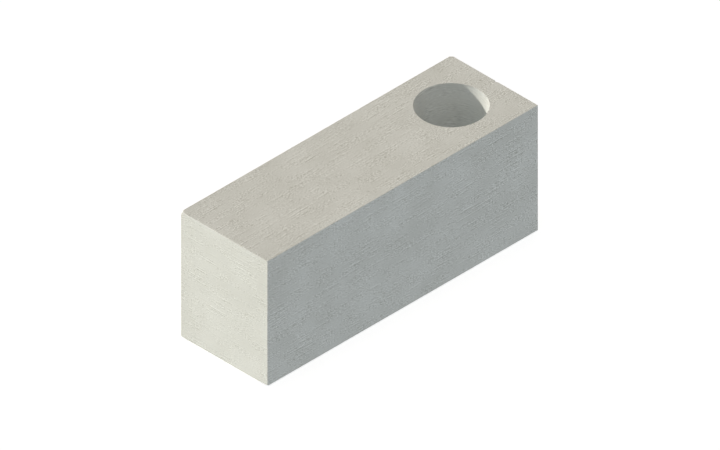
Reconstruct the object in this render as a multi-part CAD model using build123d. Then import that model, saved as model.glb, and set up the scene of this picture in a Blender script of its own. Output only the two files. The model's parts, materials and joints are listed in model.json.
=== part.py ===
from build123d import *
import os

# Masonry block of aerated concrete with one round core hole.
#
# The block is wire-cut out of a large cake, so its six faces are flat and its edges straight.
# A core hole is bored upright through one end. Its axis is half a wall thickness from that end,
# so where two such walls meet at a corner, the holes of every course line up in one shaft.
#
# Millimetres, +Z up. The origin is the middle of the lower bed face. X runs along the block
# towards the bored end, and Y runs across the wall.

# Driving dimensions
block_length = 625.0
wall_thickness = 200.0
course_height = 250.0
core_diameter = 125.0
core_axis_to_end = 100.0
# Blunting that the crumbly edges get in handling: along the arrises, and round the hole's two rims
arris_radius = 1.0
core_rim_radius = 1.0

# Places that follow from them
core_axis_x = block_length / 2 - core_axis_to_end


def wire_cut_block():
    """The plain block as the wires leave it, with its twelve arrises blunted."""
    with BuildPart() as block:
        with BuildSketch():
            Rectangle(block_length, wall_thickness)
        extrude(amount=course_height)
        fillet(block.edges(), arris_radius)
    return block.part


def bored_block():
    """The block with the core hole bored through it from one bed face to the other."""
    with BuildPart() as block:
        add(wire_cut_block())
        with Locations((core_axis_x, 0, course_height)):
            Hole(core_diameter / 2, depth=course_height)
        core_rims = block.edges(Select.NEW).filter_by(GeomType.CIRCLE)
        fillet(core_rims, core_rim_radius)
    return block.part


os.makedirs("parts", exist_ok=True)
export_step(bored_block(), "parts/block.step")
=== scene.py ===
import json
import math

import bmesh
import bpy
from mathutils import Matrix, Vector


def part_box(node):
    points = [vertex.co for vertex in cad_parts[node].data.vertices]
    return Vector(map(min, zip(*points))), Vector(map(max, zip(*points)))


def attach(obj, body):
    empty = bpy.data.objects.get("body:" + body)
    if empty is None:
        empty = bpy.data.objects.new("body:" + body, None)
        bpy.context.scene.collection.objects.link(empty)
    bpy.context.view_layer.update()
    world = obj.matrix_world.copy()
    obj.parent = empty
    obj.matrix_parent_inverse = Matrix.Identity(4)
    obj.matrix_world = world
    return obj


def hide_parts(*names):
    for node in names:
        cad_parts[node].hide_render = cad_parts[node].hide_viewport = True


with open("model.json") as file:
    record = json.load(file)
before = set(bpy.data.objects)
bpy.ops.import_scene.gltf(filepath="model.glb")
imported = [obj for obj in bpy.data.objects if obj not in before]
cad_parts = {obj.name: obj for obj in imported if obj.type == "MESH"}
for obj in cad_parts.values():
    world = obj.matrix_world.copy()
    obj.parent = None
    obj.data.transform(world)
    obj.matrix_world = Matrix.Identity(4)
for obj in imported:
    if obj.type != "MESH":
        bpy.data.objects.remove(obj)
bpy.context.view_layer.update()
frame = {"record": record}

# A block of aerated concrete, wire-cut from a larger cake and bored upright through one end.
# Lengths are in metres. X runs along the block towards the bored end, and Y runs across the wall.
low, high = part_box("block")
length, thickness, height = high - low
AXES = 3
core_hole = next(mount for mount in frame["record"]["mounts"] if mount["name"] == "core_hole")
core_x, core_y = core_hole["pos_m"][:2]
MM_IN_METRE = 1000
core_radius = core_hole["dims"]["r_mm"] / MM_IN_METRE
base_colour = Vector(frame["record"]["materials"][0]["base_color"])

# Spacing of the mesh lines along the block, across it and down the hole
ALONG_STEP = 0.0065
ACROSS_STEP = 0.0024
BORE_STEP = 0.0036
# Distances of the close rows of mesh lines from arrises and rims
ROWS = (0.0002, 0.0006, 0.0014, 0.0028)
# Rings between the rows along the border of the bored end and those round its hole
MIDDLE_RINGS = 13
# In the rows beside an arris, an edge along it that is longer than this is cut again
LONGEST_EDGE = 0.0036
ARRIS_CUTS = 3
# Points closer together than this become one
MERGE_GAP = 0.00001

# All the faces lie flat on one square sheet, with gaps between them
SHEET_GAP = 0.004
SHEET_GAPS = 5
# UV maps: places on the sheet, in metres and as shares of its side
CUT_MAP = "CutMap"
BAKE_MAP = "OFBake"
# Attributes: how worn a point is, and how much the wire has torn its face
WEAR = "wear"
TEARING = "tearing"
# Places of the two finishes in the mesh's list of materials
CUT_FINISH = 0
BORED_FINISH = 1

# Wear of the arrises and rims: how far they crumble, and the few chips that go deeper
BLUNTING = 0.0003
RIM_BLUNTING = 0.0002
CRUMB_SIZE = 0.005
CHIP_DEPTH = 0.0018
CHIP_SPACING = 0.024
# Places that have lost a small piece, three corners and a notch in the bored end's top arris,
# each with the size of the piece along the three axes
NOTCH_Y = -0.004
LOST_PIECES = (
    (Vector((low.x, high.y, high.z)), Vector((0.0064, 0.0035, 0.0046))),
    (Vector((high.x, high.y, high.z)), Vector((0.0045, 0.0045, 0.0045))),
    (Vector((low.x, low.y, low.z)), Vector((0.0030, 0.0250, 0.0014))),
    (Vector((high.x, NOTCH_Y, high.z)), Vector((0.0035, 0.0035, 0.0035))),
)
# Share of a lost piece's size over which its break fades out
BREAK_FADE_SHARE = 0.125

# Unevenness that the wire leaves: gentle waves, and fine ridges along the cut
WAVE_DEPTH = 0.00006
WAVE_LENGTH = 0.045
RIDGE_DEPTH = 0.00004
RIDGE_LENGTH = 0.070
RIDGE_WIDTH = 0.0050
# How much the wire tears the faces that face along X, Y and Z
TEARING_SHARES = (0.55, 1.17, 0.94)
WEAR_SEED = 7.0

# Levels of noise between which crumbs, chips, and the hollows of waves and ridges set in
CRUMB_LEVELS = (0.32, 0.76)
CHIP_LEVELS = (0.66, 0.80)
HOLLOW_LEVELS = (0.75, 0.25)

# How far the darkest and the palest colour lie from the base colour, as shares of it.
# The shares of the patches, grain, pits, marks and fresh breaks are of the way between those two.
COLOUR_SWING_SHARES = Vector((0.285, 0.295, 0.330))
# Cloudy patches: their share on any face, and what full tearing adds to it
PATCH_SIZE = 0.060
PATCH_SHARE = 0.22
TORN_PATCH_SHARE = 0.25
# What the cut leaves: drawn-out grain, opened cells and marks
GRAIN_SHARE = 2.60
GRAIN_DEPTH = 0.00010
# The opened cells' colour share is painted shade in their hollows; their depth is real relief
PAINTED_PIT_SHADE_SHARE = 0.46
PIT_DEPTH = 0.00008
# The marks' colour share paints a highlight on each lip and shade in each furrow; their depth is real
# relief
PAINTED_MARK_SHADING_SHARE = 0.70
MARK_DEPTH = 0.00009
# Their strength where the wire ran smoothly, and what is added where it tore
CALM_STRENGTH = 0.30
TORN_STRENGTH = 1.60
ZONE_LEVELS = (0.36, 0.66)
# Worn and broken places are this much paler
FRESH_SHARE = 0.03

# Marks: how far they swerve, over what length, and the noise that they come from
MARK_SWERVE = 0.004
MARK_SWERVE_LENGTH = 0.040
MARK_LEVELS = (0.50, 0.80)
# Their strength in faint and strong dashes, and in patches where they fade
DASH_LEVELS = (0.40, 0.60)
FAINT_DASH = 0.40
STRONG_DASH = 1.60
FADING_LEVELS = (0.35, 0.65)
FADED_MARK = 0.3
# Opened cells: the radius of one that is all but closed, in cell spacings,
# and the share of a cell's radius that is its flat floor
CLOSED_RADIUS = 0.02
PIT_FLOOR_SHARE = 0.4
# Gloss: grain adds roughness to the least one
LEAST_ROUGHNESS = 0.88
GRAIN_ROUGHNESS = 0.10
SPECULAR_LEVEL = 0.2

# The camera looks along an isometric direction, with parallel sight lines
TOWARDS_CAMERA = Vector((-1, -1, 1)).normalized()
VIEW_CENTRE = Vector((0.0007, -0.0006, 0.1164))
VIEW_WIDTH = 1.1764
CAMERA_DISTANCE = 3.0


# Mesh of the block

def spread(start, end, step):
    """Even places from start to end, both included, about a step apart."""
    count = round(abs(end - start) / step)
    return [start + (end - start) * i / count for i in range(count)] + [end]


def face_lines(start, end, step, seam=None):
    """Places of the mesh lines from one arris to the other, with close rows beside both."""
    inner_start = start + ROWS[-1]
    inner_end = end - ROWS[-1]
    near = [start] + [start + row for row in ROWS[:-1]]
    far = [end - row for row in reversed(ROWS[:-1])] + [end]
    if seam is None:
        return near + spread(inner_start, inner_end, step) + far
    return near + spread(inner_start, seam, step) + spread(seam, inner_end, step)[1:] + far


class Sheet:
    """Collects the block's faces as grids of quads and lays each one flat on a common sheet."""

    def __init__(self):
        self.mesh = bmesh.new()
        self.cut_map = self.mesh.loops.layers.uv.new(CUT_MAP)
        self.bake_map = self.mesh.loops.layers.uv.new(BAKE_MAP)
        # Two rows of upright faces and two of bed faces lie above each other
        self.side = 2 * (height + thickness) + SHEET_GAPS * SHEET_GAP

    def add(self, points, flat, corner, finish):
        """One grid. points and flat are rows of places in space and on the flattened face."""
        verts = [[self.mesh.verts.new(point) for point in row] for row in points]
        for i in range(len(verts) - 1):
            for j in range(len(verts[i]) - 1):
                around = ((i, j), (i, j + 1), (i + 1, j + 1), (i + 1, j))
                face = self.mesh.faces.new([verts[r][c] for r, c in around])
                face.material_index = finish
                for loop, (r, c) in zip(face.loops, around):
                    place = Vector(flat[r][c]) + Vector(corner)
                    # The hole's wall lies on its side on the sheet, and its marks run round it
                    loop[self.cut_map].uv = place.yx if finish == BORED_FINISH else place
                    loop[self.bake_map].uv = place / self.side

    def add_flat(self, points, along, across, corner):
        """One flat face, or a part of it, cut along one axis and measured across another."""
        flat = [[(p[along] - low[along], p[across] - low[across]) for p in row] for row in points]
        self.add(points, flat, corner, CUT_FINISH)


def hole_border(x_lines, y_lines, seam):
    """The points round the bored end of a bed face, anticlockwise, with the first one again at the end."""
    beside = [x for x in x_lines if x >= seam]
    border = [(x, low.y) for x in beside]
    border += [(high.x, y) for y in y_lines[1:]]
    border += [(x, high.y) for x in reversed(beside[:-1])]
    border += [(seam, y) for y in reversed(y_lines[:-1])]
    return border


def hole_rings(border):
    """Rings of points from the border of the bored end to the hole's rim, as (x, y)."""
    half_x = high.x - core_x
    half_y = high.y - core_y
    directions = [Vector((x - core_x, y - core_y)).normalized() for x, y in border]
    axis = Vector((core_x, core_y))
    rings = []
    for inset in (0, *ROWS):
        shrink = Vector((1 - inset / half_x, 1 - inset / half_y))
        rings.append([axis + (Vector(p) - axis) * shrink for p in border])
    outer = rings[-1]
    inner = [axis + d * (core_radius + ROWS[-1]) for d in directions]
    for k in range(1, MIDDLE_RINGS + 1):
        share = k / (MIDDLE_RINGS + 1)
        rings.append([a.lerp(b, share) for a, b in zip(outer, inner)])
    rings.append(inner)
    for row in (*reversed(ROWS[:-1]), 0):
        rings.append([axis + d * (core_radius + row) for d in directions])
    return rings


def cut_again_along_arrises(mesh):
    """Cuts the edges that run along an arris, in the close rows beside it, into shorter ones."""
    reach = ROWS[-1] + MERGE_GAP
    chosen = []
    for edge in mesh.edges:
        a, b = (vert.co for vert in edge.verts)
        run = b - a
        axis = max(range(AXES), key=lambda i: abs(run[i]))
        others = [i for i in range(AXES) if i != axis]
        straight = all(abs(run[i]) < MERGE_GAP for i in others)
        beside = all(min(a[i] - low[i], high[i] - a[i]) < reach for i in others)
        if straight and beside and run.length > LONGEST_EDGE:
            chosen.append(edge)
    bmesh.ops.subdivide_edges(mesh, edges=chosen, cuts=ARRIS_CUTS, use_grid_fill=True)


def block_mesh():
    """The block as one closed mesh, fine along its arrises and rims, with its two UV maps."""
    # The bored end is a square round the hole, and a seam parts it from the plain stretch of the bed face
    seam = 2 * core_x - high.x
    x_lines = face_lines(low.x, high.x, ALONG_STEP, seam)
    y_lines = face_lines(low.y, high.y, ACROSS_STEP)
    z_lines = face_lines(low.z, high.z, ACROSS_STEP)
    rings = hole_rings(hole_border(x_lines, y_lines, seam))
    sheet = Sheet()
    row_up = height + SHEET_GAP
    column = length + SHEET_GAP
    for number, y in enumerate((low.y, high.y)):
        wall = [[Vector((x, y, z)) for x in x_lines] for z in z_lines]
        sheet.add_flat(wall, 0, 2, (0, number * row_up))
    for number, x in enumerate((low.x, high.x)):
        end = [[Vector((x, y, z)) for y in y_lines] for z in z_lines]
        sheet.add_flat(end, 1, 2, (column, number * row_up))
    plain_lines = [x for x in x_lines if x <= seam]
    for number, z in enumerate((low.z, high.z)):
        corner = (0, 2 * row_up + number * (thickness + SHEET_GAP))
        plain = [[Vector((x, y, z)) for x in plain_lines] for y in y_lines]
        sheet.add_flat(plain, 0, 1, corner)
        bored = [[Vector((*p, z)) for p in ring] for ring in rings]
        sheet.add_flat(bored, 0, 1, corner)
    rim = rings[-1]
    bore_lines = face_lines(low.z, high.z, BORE_STEP)
    turns = [0.0]
    for a, b in zip(rim, rim[1:]):
        turns.append(turns[-1] + (b - a).length)
    bore = [[Vector((*p, z)) for p in rim] for z in bore_lines]
    flat = [[(z - low.z, turn) for turn in turns] for z in bore_lines]
    sheet.add(bore, flat, (column, 2 * row_up), BORED_FINISH)
    mesh = sheet.mesh
    bmesh.ops.remove_doubles(mesh, verts=mesh.verts, dist=MERGE_GAP)
    cut_again_along_arrises(mesh)
    bmesh.ops.recalc_face_normals(mesh, faces=mesh.faces)
    block = bpy.data.meshes.new("aerated_block")
    mesh.to_mesh(block)
    mesh.free()
    return block


# Node trees

class Tree:
    """Short calls for building one node tree."""

    def __init__(self, tree):
        self.tree = tree

    def inputs(self, kind, *names):
        for name in names:
            self.tree.interface.new_socket(name, in_out="INPUT", socket_type=kind)

    def output(self, kind, name):
        self.tree.interface.new_socket(name, in_out="OUTPUT", socket_type=kind)

    def node(self, kind, inputs=None, **settings):
        made = self.tree.nodes.new(kind)
        for name, value in settings.items():
            setattr(made, name, value)
        for key, value in (inputs or {}).items():
            self.feed(value, made.inputs[key])
        return made

    def feed(self, value, socket):
        if isinstance(value, bpy.types.NodeSocket):
            self.tree.links.new(value, socket)
        else:
            socket.default_value = value

    def math(self, operation, *values):
        return self.node("ShaderNodeMath", dict(enumerate(values)), operation=operation).outputs[0]

    def vector(self, operation, *values):
        made = self.node("ShaderNodeVectorMath", dict(enumerate(values)), operation=operation)
        return made.outputs["Value" if operation in ("LENGTH", "DOT_PRODUCT") else "Vector"]

    def scaled(self, vector, factor):
        return self.node("ShaderNodeVectorMath", {0: vector, "Scale": factor}, operation="SCALE").outputs[0]

    def parts(self, vector):
        return self.node("ShaderNodeSeparateXYZ", {0: vector}).outputs

    def joined(self, x, y, z):
        return self.node("ShaderNodeCombineXYZ", {0: x, 1: y, 2: z}).outputs[0]

    def swing(self, value):
        """A value from 0 to 1, measured from its middle."""
        return self.math("SUBTRACT", value, 0.5)

    def noise(self, place, size, seed, detail=2.0, roughness=0.5):
        """Soft noise from 0 to 1, whose spots are about this size."""
        inputs = {"Vector": place, "W": seed, "Detail": detail, "Roughness": roughness}
        inputs["Scale"] = self.math("DIVIDE", 1.0, size)
        return self.node("ShaderNodeTexNoise", inputs, noise_dimensions="4D").outputs["Fac"]

    def streaks(self, flat, long, wide, seed, detail=1.0):
        """Noise from 0 to 1 on a flat map, drawn out along its first axis."""
        u, v, _ = self.parts(flat)
        place = self.joined(self.math("DIVIDE", u, long), self.math("DIVIDE", v, wide), 0.0)
        return self.noise(place, 1.0, seed, detail)

    def ramp(self, value, levels, to_start=0.0, to_end=1.0):
        """A value between two levels, carried smoothly over to another pair."""
        start, end = levels
        inputs = {"Value": value, "From Min": start, "From Max": end, "To Min": to_start, "To Max": to_end}
        return self.node("ShaderNodeMapRange", inputs, interpolation_type="SMOOTHSTEP").outputs[0]

    def mixed(self, share, first, second):
        """The colour that is this share of the way from the first to the second."""
        made = self.node("ShaderNodeMix", data_type="RGBA")
        inputs = {"Factor": share, "A": (*first, 1.0), "B": (*second, 1.0)}
        # The node has sockets of these names for each type of data, and only those in use are enabled
        for socket in made.inputs:
            if socket.enabled and socket.name in inputs:
                self.feed(inputs[socket.name], socket)
        return next(socket for socket in made.outputs if socket.enabled)

    def effect(self, group, values):
        """A shared effect, placed here with its own values."""
        return self.node("ShaderNodeGroup", values, node_tree=group).outputs[0]


# Wear

def wear_sockets(tree):
    """Names what goes into the wear, and the worn block that comes out."""
    tree.output("NodeSocketGeometry", "Geometry")
    tree.inputs("NodeSocketGeometry", "Geometry")
    tree.inputs("NodeSocketVector", "Low Corner", "High Corner", "Core Axis", "Tearing Shares")
    tree.inputs("NodeSocketFloat", "Core Radius", "Blunting", "Rim Blunting", "Crumb Size")
    tree.inputs("NodeSocketFloat", "Chip Depth", "Chip Spacing", "Wave Depth", "Wave Length")
    tree.inputs("NodeSocketFloat", "Ridge Depth", "Ridge Length", "Ridge Width", "Seed")
    for number in range(len(LOST_PIECES)):
        tree.inputs("NodeSocketVector", f"Lost Place {number}", f"Lost Size {number}")
    tree.inputs("NodeSocketMaterial", "Cut Finish", "Bored Finish")


def worn_arrises(tree, room, set_back):
    """How far each arris is set back, one half along each of the two axes that meet there."""
    x, y, z = tree.parts(room)
    pairs = tree.joined(tree.math("ADD", x, y), tree.math("ADD", y, z), tree.math("ADD", z, x))
    wanted = tree.vector("SUBTRACT", tree.joined(set_back, set_back, set_back), pairs)
    cuts = tree.scaled(tree.vector("MAXIMUM", wanted, (0, 0, 0)), 0.5)
    xy, yz, zx = tree.parts(cuts)
    return tree.joined(tree.math("ADD", xy, zx), tree.math("ADD", xy, yz), tree.math("ADD", yz, zx))


def flat_break(tree, place, room, spot, size):
    """How far points are set back along each axis where a spot has lost a small piece of this size."""
    away = tree.vector("ABSOLUTE", tree.vector("SUBTRACT", place, spot))
    reach = tree.vector("DOT_PRODUCT", tree.vector("DIVIDE", away, size), (1, 1, 1))
    inside = tree.math("MAXIMUM", tree.math("SUBTRACT", 1.0, reach), 0.0)
    depth = tree.scaled(size, tree.math("DIVIDE", inside, AXES))
    near_face = tree.vector("SUBTRACT", (1, 1, 1), tree.vector("DIVIDE", room, size))
    near_face = tree.vector("MAXIMUM", tree.scaled(near_face, 1 / BREAK_FADE_SHARE), (0, 0, 0))
    return tree.vector("MULTIPLY", depth, tree.vector("MINIMUM", near_face, (1, 1, 1)))


def worn_rims(tree, given, place, room, inwards, crumbs):
    """How far the rims are set back, one half into the block and one half away from the hole's axis."""
    outwards = tree.vector("MULTIPLY", tree.vector("SUBTRACT", place, given["Core Axis"]), (1, 1, 0))
    from_wall = tree.math("SUBTRACT", tree.vector("LENGTH", outwards), given["Core Radius"])
    from_bed = tree.parts(room)[2]
    rim = tree.math("MULTIPLY", given["Rim Blunting"], crumbs)
    rim = tree.math("SUBTRACT", rim, tree.math("ADD", from_wall, from_bed))
    rim = tree.math("MULTIPLY", tree.math("MAXIMUM", rim, 0.0), 0.5)
    into_block = tree.joined(0.0, 0.0, tree.math("MULTIPLY", rim, tree.parts(inwards)[2]))
    return tree.vector("ADD", tree.scaled(tree.vector("NORMALIZE", outwards), rim), into_block)


def wire_waves(tree, given, place, normal):
    """How far the faces are sunk by gentle waves, and by fine ridges along the cut."""
    inputs = {"Name": CUT_MAP}
    flat = tree.node("GeometryNodeInputNamedAttribute", inputs, data_type="FLOAT_VECTOR").outputs[0]
    waves = tree.noise(place, given["Wave Length"], given["Seed"], detail=1.0)
    ridges = tree.streaks(flat, given["Ridge Length"], given["Ridge Width"], given["Seed"])
    depth = tree.math("MULTIPLY", tree.ramp(waves, HOLLOW_LEVELS), given["Wave Depth"])
    depth = tree.math("MULTIPLY_ADD", tree.ramp(ridges, HOLLOW_LEVELS), given["Ridge Depth"], depth)
    return tree.scaled(normal, tree.math("MULTIPLY", depth, -1.0))


def wear_tree():
    """Geometry nodes that crumble arrises and rims, break off small pieces and make the wire's waves."""
    group = bpy.data.node_groups.new("worn_block", "GeometryNodeTree")
    tree = Tree(group)
    wear_sockets(tree)
    given = tree.node("NodeGroupInput").outputs
    place = tree.node("GeometryNodeInputPosition").outputs[0]
    normal = tree.node("GeometryNodeInputNormal").outputs[0]

    # How far each point is from the nearest face along each axis, and which way leads inwards
    from_low = tree.vector("SUBTRACT", place, given["Low Corner"])
    from_high = tree.vector("SUBTRACT", given["High Corner"], place)
    room = tree.vector("MINIMUM", from_low, from_high)
    inwards = tree.vector("SIGN", tree.vector("SUBTRACT", from_high, from_low))

    # How far back the crumbly arrises are worn: a little everywhere, and more in a few chips
    crumbs = tree.ramp(tree.noise(place, given["Crumb Size"], given["Seed"]), CRUMB_LEVELS)
    chip_seed = tree.math("ADD", given["Seed"], 1.0)
    chips = tree.ramp(tree.noise(place, given["Chip Spacing"], chip_seed), CHIP_LEVELS)
    set_back = tree.math("MULTIPLY", crumbs, given["Blunting"])
    set_back = tree.math("MULTIPLY_ADD", chips, given["Chip Depth"], set_back)

    back = worn_arrises(tree, room, set_back)
    for number in range(len(LOST_PIECES)):
        spot = given[f"Lost Place {number}"]
        lost = flat_break(tree, place, room, spot, given[f"Lost Size {number}"])
        back = tree.vector("MAXIMUM", back, lost)
    back = tree.vector("MULTIPLY", back, inwards)
    worn = tree.vector("ADD", back, worn_rims(tree, given, place, room, inwards, crumbs))
    offset = tree.vector("ADD", worn, wire_waves(tree, given, place, normal))
    inputs = {"Geometry": given["Geometry"], "Offset": offset}
    geometry = tree.node("GeometryNodeSetPosition", inputs).outputs[0]

    wear = tree.ramp(tree.vector("LENGTH", worn), (0.0, given["Blunting"]))
    tearing = tree.vector("DOT_PRODUCT", tree.vector("ABSOLUTE", normal), given["Tearing Shares"])
    for name, value in ((WEAR, wear), (TEARING, tearing)):
        inputs = {"Geometry": geometry, "Name": name, "Value": value}
        geometry = tree.node("GeometryNodeStoreNamedAttribute", inputs).outputs[0]
    geometry = tree.node("GeometryNodeSetShadeSmooth", {"Geometry": geometry}).outputs[0]
    geometry = tree.node("GeometryNodeRealizeInstances", {"Geometry": geometry}).outputs[0]

    # The faces keep their own finish. Sockets 2 and 3 are the two whole numbers that are compared.
    index = tree.node("GeometryNodeInputMaterialIndex").outputs[0]
    for number, finish in ((CUT_FINISH, given["Cut Finish"]), (BORED_FINISH, given["Bored Finish"])):
        chosen = tree.node("FunctionNodeCompare", {2: index, 3: number}, data_type="INT", operation="EQUAL")
        inputs = {"Geometry": geometry, "Selection": chosen.outputs[0], "Material": finish}
        geometry = tree.node("GeometryNodeSetMaterial", inputs).outputs[0]
    tree.node("NodeGroupOutput", {"Geometry": geometry})
    return group


def wear_values(cut_finish, bored_finish):
    """What the wear is given, by the names of its sockets."""
    values = {
        "Low Corner": low, "High Corner": high,
        "Core Axis": (core_x, core_y, 0.0), "Core Radius": core_radius,
        "Blunting": BLUNTING, "Rim Blunting": RIM_BLUNTING, "Crumb Size": CRUMB_SIZE,
        "Chip Depth": CHIP_DEPTH, "Chip Spacing": CHIP_SPACING,
        "Wave Depth": WAVE_DEPTH, "Wave Length": WAVE_LENGTH,
        "Ridge Depth": RIDGE_DEPTH, "Ridge Length": RIDGE_LENGTH, "Ridge Width": RIDGE_WIDTH,
        "Tearing Shares": TEARING_SHARES, "Seed": WEAR_SEED,
        "Cut Finish": cut_finish, "Bored Finish": bored_finish,
    }
    for number, (place, size) in enumerate(LOST_PIECES):
        values[f"Lost Place {number}"] = place
        values[f"Lost Size {number}"] = size
    return values


def block_piece(cut_finish, bored_finish):
    """The worn block, as a plain mesh in the block's place."""
    rough = bpy.data.objects.new("rough_block", block_mesh())
    bpy.context.scene.collection.objects.link(rough)
    for finish in (cut_finish, bored_finish):
        rough.data.materials.append(finish)
    modifier = rough.modifiers.new("wear", "NODES")
    modifier.node_group = wear_tree()
    values = wear_values(cut_finish, bored_finish)
    for item in modifier.node_group.interface.items_tree:
        if item.in_out == "INPUT" and item.name in values:
            modifier[item.identifier] = values[item.name]
    shown = rough.evaluated_get(bpy.context.evaluated_depsgraph_get())
    worn = bpy.data.meshes.new_from_object(shown)
    rough.modifiers.remove(modifier)
    bpy.data.objects.remove(rough)
    piece = bpy.data.objects.new("aerated_block", worn)
    bpy.context.scene.collection.objects.link(piece)
    return piece


# Effects that both finishes share

def shared_effect(name, output, vector, numbers):
    """An empty shader node group that takes a vector and these numbers, and puts out one number."""
    tree = Tree(bpy.data.node_groups.new(name, "ShaderNodeTree"))
    tree.inputs("NodeSocketVector", vector)
    tree.inputs("NodeSocketFloat", *numbers)
    tree.output("NodeSocketFloat", output)
    return tree, tree.node("NodeGroupInput").outputs


def mottling_effect():
    """Soft cloudy patches, from 0 to 1."""
    tree, given = shared_effect("Mottling", "Patches", "Place", ["Patch Size", "Seed"])
    patches = tree.noise(given["Place"], given["Patch Size"], given["Seed"], detail=3.0)
    tree.node("NodeGroupOutput", {"Patches": patches})
    return tree.tree


def torn_cells_effect():
    """Cells of the concrete that the cut has opened and drawn out: 1 on a cell's floor, 0 between cells."""
    names = ["Spacing", "Drawn Out", "Open Share", "Widest", "Seed"]
    tree, given = shared_effect("Torn Cells", "Pits", "Flat", names)
    u, v, _ = tree.parts(given["Flat"])
    drawn = tree.joined(tree.math("DIVIDE", u, given["Drawn Out"]), v, given["Seed"])
    inputs = {"Vector": drawn, "Scale": tree.math("DIVIDE", 1.0, given["Spacing"])}
    cells = tree.node("ShaderNodeTexVoronoi", inputs, voronoi_dimensions="3D", feature="F1")
    chance = tree.parts(cells.outputs["Color"])[0]
    closed = tree.math("SUBTRACT", 1.0, given["Open Share"])
    radius = tree.ramp(chance, (closed, 1.0), CLOSED_RADIUS, given["Widest"])
    floor_radius = tree.math("MULTIPLY", radius, PIT_FLOOR_SHARE)
    pits = tree.ramp(cells.outputs["Distance"], (radius, floor_radius))
    tree.node("NodeGroupOutput", {"Pits": pits})
    return tree.tree


def cutting_marks_effect():
    """Marks along the cut, each a raised lip above 0 beside a sunk furrow below 0; in the colour the lip
    becomes a painted highlight and the furrow painted shade.

    They swerve a little, are broken into faint and strong dashes, and fade in patches.
    """
    names = ["Mark Length", "Mark Width", "Dash Length", "Patch Size", "Seed"]
    tree, given = shared_effect("Cutting Marks", "Marks", "Flat", names)
    sizes = (given["Mark Length"], given["Mark Width"], given["Seed"])
    swerve = tree.swing(tree.noise(given["Flat"], MARK_SWERVE_LENGTH, given["Seed"]))
    aside = tree.joined(0.0, tree.math("MULTIPLY", swerve, MARK_SWERVE), 0.0)
    flat = tree.vector("ADD", given["Flat"], aside)
    half_width = tree.joined(0.0, tree.math("MULTIPLY", given["Mark Width"], 0.5), 0.0)
    lips = tree.ramp(tree.streaks(flat, *sizes), MARK_LEVELS)
    furrows = tree.ramp(tree.streaks(tree.vector("ADD", flat, half_width), *sizes), MARK_LEVELS)
    marks = tree.math("SUBTRACT", lips, furrows)
    dash_seed = tree.math("ADD", given["Seed"], 2.0)
    dashes = tree.streaks(flat, given["Dash Length"], given["Mark Width"], dash_seed)
    marks = tree.math("MULTIPLY", marks, tree.ramp(dashes, DASH_LEVELS, FAINT_DASH, STRONG_DASH))
    fading = tree.noise(given["Flat"], given["Patch Size"], given["Seed"])
    marks = tree.math("MULTIPLY", marks, tree.ramp(fading, FADING_LEVELS, FADED_MARK))
    tree.node("NodeGroupOutput", {"Marks": marks})
    return tree.tree


def torn_zones_effect():
    """Zones drawn out along the cut, from 0 where the wire ran smoothly to 1 where it tore."""
    tree, given = shared_effect("Torn Zones", "Zones", "Flat", ["Zone Length", "Zone Width", "Seed"])
    sizes = (given["Zone Length"], given["Zone Width"], given["Seed"])
    zones = tree.streaks(given["Flat"], *sizes, detail=2.0)
    tree.node("NodeGroupOutput", {"Zones": tree.ramp(zones, ZONE_LEVELS)})
    return tree.tree


def drawn_grain_effect():
    """Fine grain drawn out along the cut, from 0 to 1."""
    tree, given = shared_effect("Drawn Grain", "Grain", "Flat", ["Grain Length", "Grain Width", "Seed"])
    sizes = (given["Grain Length"], given["Grain Width"], given["Seed"])
    grain = tree.streaks(given["Flat"], *sizes, detail=3.0)
    tree.node("NodeGroupOutput", {"Grain": grain})
    return tree.tree


# Finishes

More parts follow.
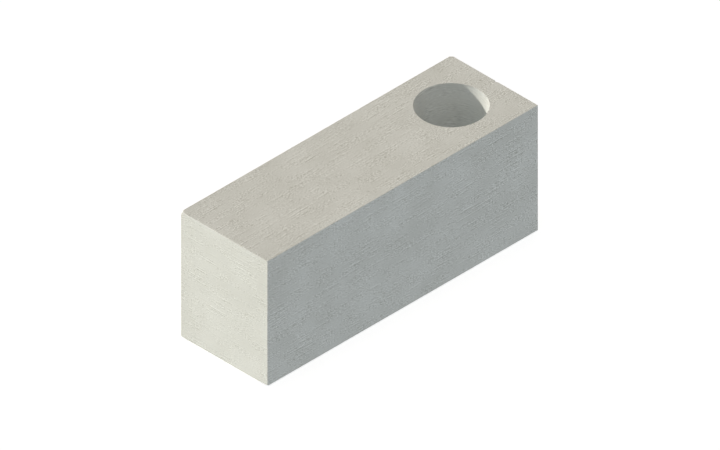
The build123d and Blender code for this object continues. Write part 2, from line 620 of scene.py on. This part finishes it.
def concrete_finish(name, effects, sizes, tone_share, contrast, seed):
    """Pale matt aerated concrete, with marks along its cut and cells torn open by it, coloured with painted
    shade in the cells and a painted highlight and shade on each mark.
    """
    material = bpy.data.materials.new(name)
    material.use_nodes = True
    tree = Tree(material.node_tree)
    place = tree.node("ShaderNodeTexCoord").outputs["Object"]
    flat = tree.node("ShaderNodeUVMap", uv_map=CUT_MAP).outputs[0]
    wear = tree.node("ShaderNodeAttribute", attribute_name=WEAR).outputs["Fac"]
    tearing = tree.node("ShaderNodeAttribute", attribute_name=TEARING).outputs["Fac"]
    patches = tree.effect(effects["mottling"], {"Place": place, "Patch Size": PATCH_SIZE, "Seed": seed})
    cut = {"Flat": flat, "Seed": seed}
    long_cut = {"Flat": flat, "Seed": seed + 1.0}
    grain = tree.effect(effects["drawn_grain"], {**cut, **sizes["grain"]})
    zones = tree.effect(effects["torn_zones"], {**cut, **sizes["zones"]})
    pits = tree.effect(effects["torn_cells"], {**cut, **sizes["cells"]})
    short_marks = tree.effect(effects["cutting_marks"], {**cut, **sizes["short_marks"]})
    long_marks = tree.effect(effects["cutting_marks"], {**long_cut, **sizes["long_marks"]})

    # What the cut leaves, as a shade of colour and as relief in metres; the pits' colour is painted shade,
    # and the marks' colour a painted highlight on each lip beside painted shade in each furrow
    layers = (
        (pits, -PAINTED_PIT_SHADE_SHARE, -PIT_DEPTH),
        (tree.math("ADD", short_marks, long_marks), PAINTED_MARK_SHADING_SHARE, MARK_DEPTH),
        (tree.swing(grain), GRAIN_SHARE, GRAIN_DEPTH),
    )
    torn = 0.0
    relief = 0.0
    for layer, share, depth in layers:
        torn = tree.math("MULTIPLY_ADD", layer, share * contrast, torn)
        relief = tree.math("MULTIPLY_ADD", layer, depth * contrast, relief)
    bump = tree.node("ShaderNodeBump", {"Height": relief, "Strength": 1.0, "Distance": 1.0})

    # Colour: strongly marked where the wire tore, with painted shade in the pits and painted highlight and
    # shade on the marks, cloudy, and a little paler where it is freshly broken
    strength = tree.math("MULTIPLY_ADD", zones, TORN_STRENGTH, CALM_STRENGTH)
    tone = tree.math("MULTIPLY_ADD", tree.math("MULTIPLY", torn, strength), tearing, tone_share)
    cloudiness = tree.math("MULTIPLY_ADD", tearing, TORN_PATCH_SHARE, PATCH_SHARE)
    tone = tree.math("MULTIPLY_ADD", tree.swing(patches), cloudiness, tone)
    tone = tree.math("MULTIPLY_ADD", wear, FRESH_SHARE, tone)
    swing = base_colour * COLOUR_SWING_SHARES
    colour = tree.mixed(tone, base_colour - swing, base_colour + swing)

    shader = material.node_tree.nodes["Principled BSDF"]
    shader.inputs["Specular IOR Level"].default_value = SPECULAR_LEVEL
    roughness = tree.math("MULTIPLY_ADD", grain, GRAIN_ROUGHNESS, LEAST_ROUGHNESS)
    tree.feed(colour, shader.inputs["Base Color"])
    tree.feed(roughness, shader.inputs["Roughness"])
    tree.feed(bump.outputs[0], shader.inputs["Normal"])
    return material


def wire_cut_concrete(effects):
    """The six faces that the wire has cut."""
    sizes = {
        "short_marks": {
            "Mark Length": 0.007, "Mark Width": 0.0022, "Dash Length": 0.007, "Patch Size": 0.045,
        },
        "long_marks": {
            "Mark Length": 0.055, "Mark Width": 0.0026, "Dash Length": 0.007, "Patch Size": 0.080,
        },
        "cells": {"Spacing": 0.0026, "Drawn Out": 2.6, "Open Share": 0.30, "Widest": 0.50},
        "grain": {"Grain Length": 0.0032, "Grain Width": 0.0011},
        "zones": {"Zone Length": 0.060, "Zone Width": 0.016},
    }
    return concrete_finish("wire_cut_concrete", effects, sizes, tone_share=0.53, contrast=1.0, seed=3.0)


def bored_concrete(effects):
    """The wall of the hole, which the drill has left calmer than the wire leaves a face."""
    sizes = {
        "short_marks": {
            "Mark Length": 0.016, "Mark Width": 0.0026, "Dash Length": 0.007, "Patch Size": 0.040,
        },
        "long_marks": {
            "Mark Length": 0.060, "Mark Width": 0.0030, "Dash Length": 0.008, "Patch Size": 0.060,
        },
        "cells": {"Spacing": 0.0028, "Drawn Out": 1.6, "Open Share": 0.12, "Widest": 0.45},
        "grain": {"Grain Length": 0.0080, "Grain Width": 0.0024},
        "zones": {"Zone Length": 0.040, "Zone Width": 0.020},
    }
    return concrete_finish("bored_concrete", effects, sizes, tone_share=0.60, contrast=0.26, seed=5.0)


# Stage

def lamp(name, towards, level, width, casts_shadow=True):
    """A lamp a long way off in a direction, so many degrees wide.

    level is the colour that a white face turned to it shows.
    """
    light = bpy.data.lights.new(name, "SUN")
    light.energy = math.pi
    light.color = level
    light.angle = math.radians(width)
    light.use_shadow = casts_shadow
    holder = bpy.data.objects.new(name, light)
    holder.rotation_mode = "QUATERNION"
    holder.rotation_quaternion = Vector(towards).to_track_quat("Z", "Y")
    bpy.context.scene.collection.objects.link(holder)
    return holder


def studio_lamps(piece):
    """One clear lamp from behind that reaches into the hole, and weak light from all sides to soften it."""
    key = lamp("key_lamp", towards=(-0.4665, 0.8207, 0.3300), level=(1.140, 1.112, 1.070), width=0.5)
    # It lights the block alone, so it casts no hard shadow on the floor
    key.light_linking.receiver_collection = bpy.data.collections.new("lit_by_key")
    key.light_linking.receiver_collection.objects.link(piece)
    for name, towards, level in (
        ("camera_fill", (-0.7, -0.7, 0), (0.062, 0.072, 0.094)),
        ("right_fill", (0.7, -0.7, 0), (0.037, 0.038, 0.047)),
        ("left_fill", (-0.7, 0.7, 0), (0.061, 0.073, 0.083)),
    ):
        lamp(name, towards, level, width=0, casts_shadow=False)
    lamp("front_bounce", towards=(0, -0.77, -0.64), level=(0.135, 0.153, 0.176), width=30)
    lamp("end_fill", towards=(-1, 0, 0), level=(0.160, 0.150, 0.113), width=2)
    lamp("far_bounce", towards=(0.77, 0, -0.64), level=(0.200, 0.210, 0.200), width=30)
    lamp("overhead", towards=(0, 0, 1), level=(0.134, 0.104, 0.087), width=30)


def seen_directly(tree):
    """1 for what the camera sees straight, in a gloss or through glass, and 0 for light on the block."""
    path = tree.node("ShaderNodeLightPath").outputs
    seen = tree.math("MAXIMUM", path["Is Camera Ray"], path["Is Glossy Ray"])
    return tree.math("MAXIMUM", seen, path["Is Transmission Ray"])


def studio_world(level):
    """Even light from all round, in front of a white background."""
    world = bpy.data.worlds.new("studio")
    bpy.context.scene.world = world
    world.use_nodes = True
    tree = Tree(world.node_tree)
    around = world.node_tree.nodes["Background"]
    around.inputs["Color"].default_value = (*level, 1.0)
    white = tree.node("ShaderNodeBackground", {"Color": (1, 1, 1, 1)}).outputs[0]
    mixed = tree.node("ShaderNodeMixShader", {0: seen_directly(tree), 1: around.outputs[0], 2: white})
    tree.feed(mixed.outputs[0], world.node_tree.nodes["World Output"].inputs["Surface"])


def studio_floor(size, colour, glow):
    """A white floor that takes the block's soft shadow, doesn't light the block and is clear from below."""
    mesh = bpy.data.meshes.new("floor")
    half = size / 2
    corners = [(-half, -half, low.z), (half, -half, low.z), (half, half, low.z), (-half, half, low.z)]
    mesh.from_pydata(corners, [], [(0, 1, 2, 3)])
    material = bpy.data.materials.new("white_floor")
    material.use_nodes = True
    tree = Tree(material.node_tree)
    material.node_tree.nodes.remove(material.node_tree.nodes["Principled BSDF"])
    matt = tree.node("ShaderNodeBsdfDiffuse", {"Color": (colour, colour, colour, 1)})
    shine = tree.node("ShaderNodeEmission", {"Strength": tree.math("MULTIPLY", seen_directly(tree), glow)})
    above = tree.node("ShaderNodeAddShader", {0: matt.outputs[0], 1: shine.outputs[0]})
    below = tree.node("ShaderNodeBsdfTransparent")
    facing = tree.node("ShaderNodeNewGeometry").outputs["Backfacing"]
    both = tree.node("ShaderNodeMixShader", {0: facing, 1: above.outputs[0], 2: below.outputs[0]})
    tree.feed(both.outputs[0], material.node_tree.nodes["Material Output"].inputs["Surface"])
    mesh.materials.append(material)
    floor = bpy.data.objects.new("floor", mesh)
    floor.visible_diffuse = False
    floor.visible_shadow = False
    bpy.context.scene.collection.objects.link(floor)
    return floor


def isometric_camera():
    """The camera, which becomes the scene's own."""
    camera = bpy.data.objects.new("camera", bpy.data.cameras.new("camera"))
    camera.data.type = "ORTHO"
    camera.data.ortho_scale = VIEW_WIDTH
    camera.rotation_mode = "QUATERNION"
    camera.rotation_quaternion = TOWARDS_CAMERA.to_track_quat("Z", "Y")
    camera.location = VIEW_CENTRE + TOWARDS_CAMERA * CAMERA_DISTANCE
    bpy.context.scene.collection.objects.link(camera)
    bpy.context.scene.camera = camera


# The block on its stage

effects = {
    "mottling": mottling_effect(),
    "torn_cells": torn_cells_effect(),
    "cutting_marks": cutting_marks_effect(),
    "torn_zones": torn_zones_effect(),
    "drawn_grain": drawn_grain_effect(),
}
piece = block_piece(wire_cut_concrete(effects), bored_concrete(effects))
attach(piece, "root")
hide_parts("block")

floor = studio_floor(size=12.0, colour=0.9, glow=0.60)
studio_world(level=(0.349, 0.374, 0.390))
studio_lamps(piece)
isometric_camera()
bpy.context.scene.view_settings.view_transform = "Standard"
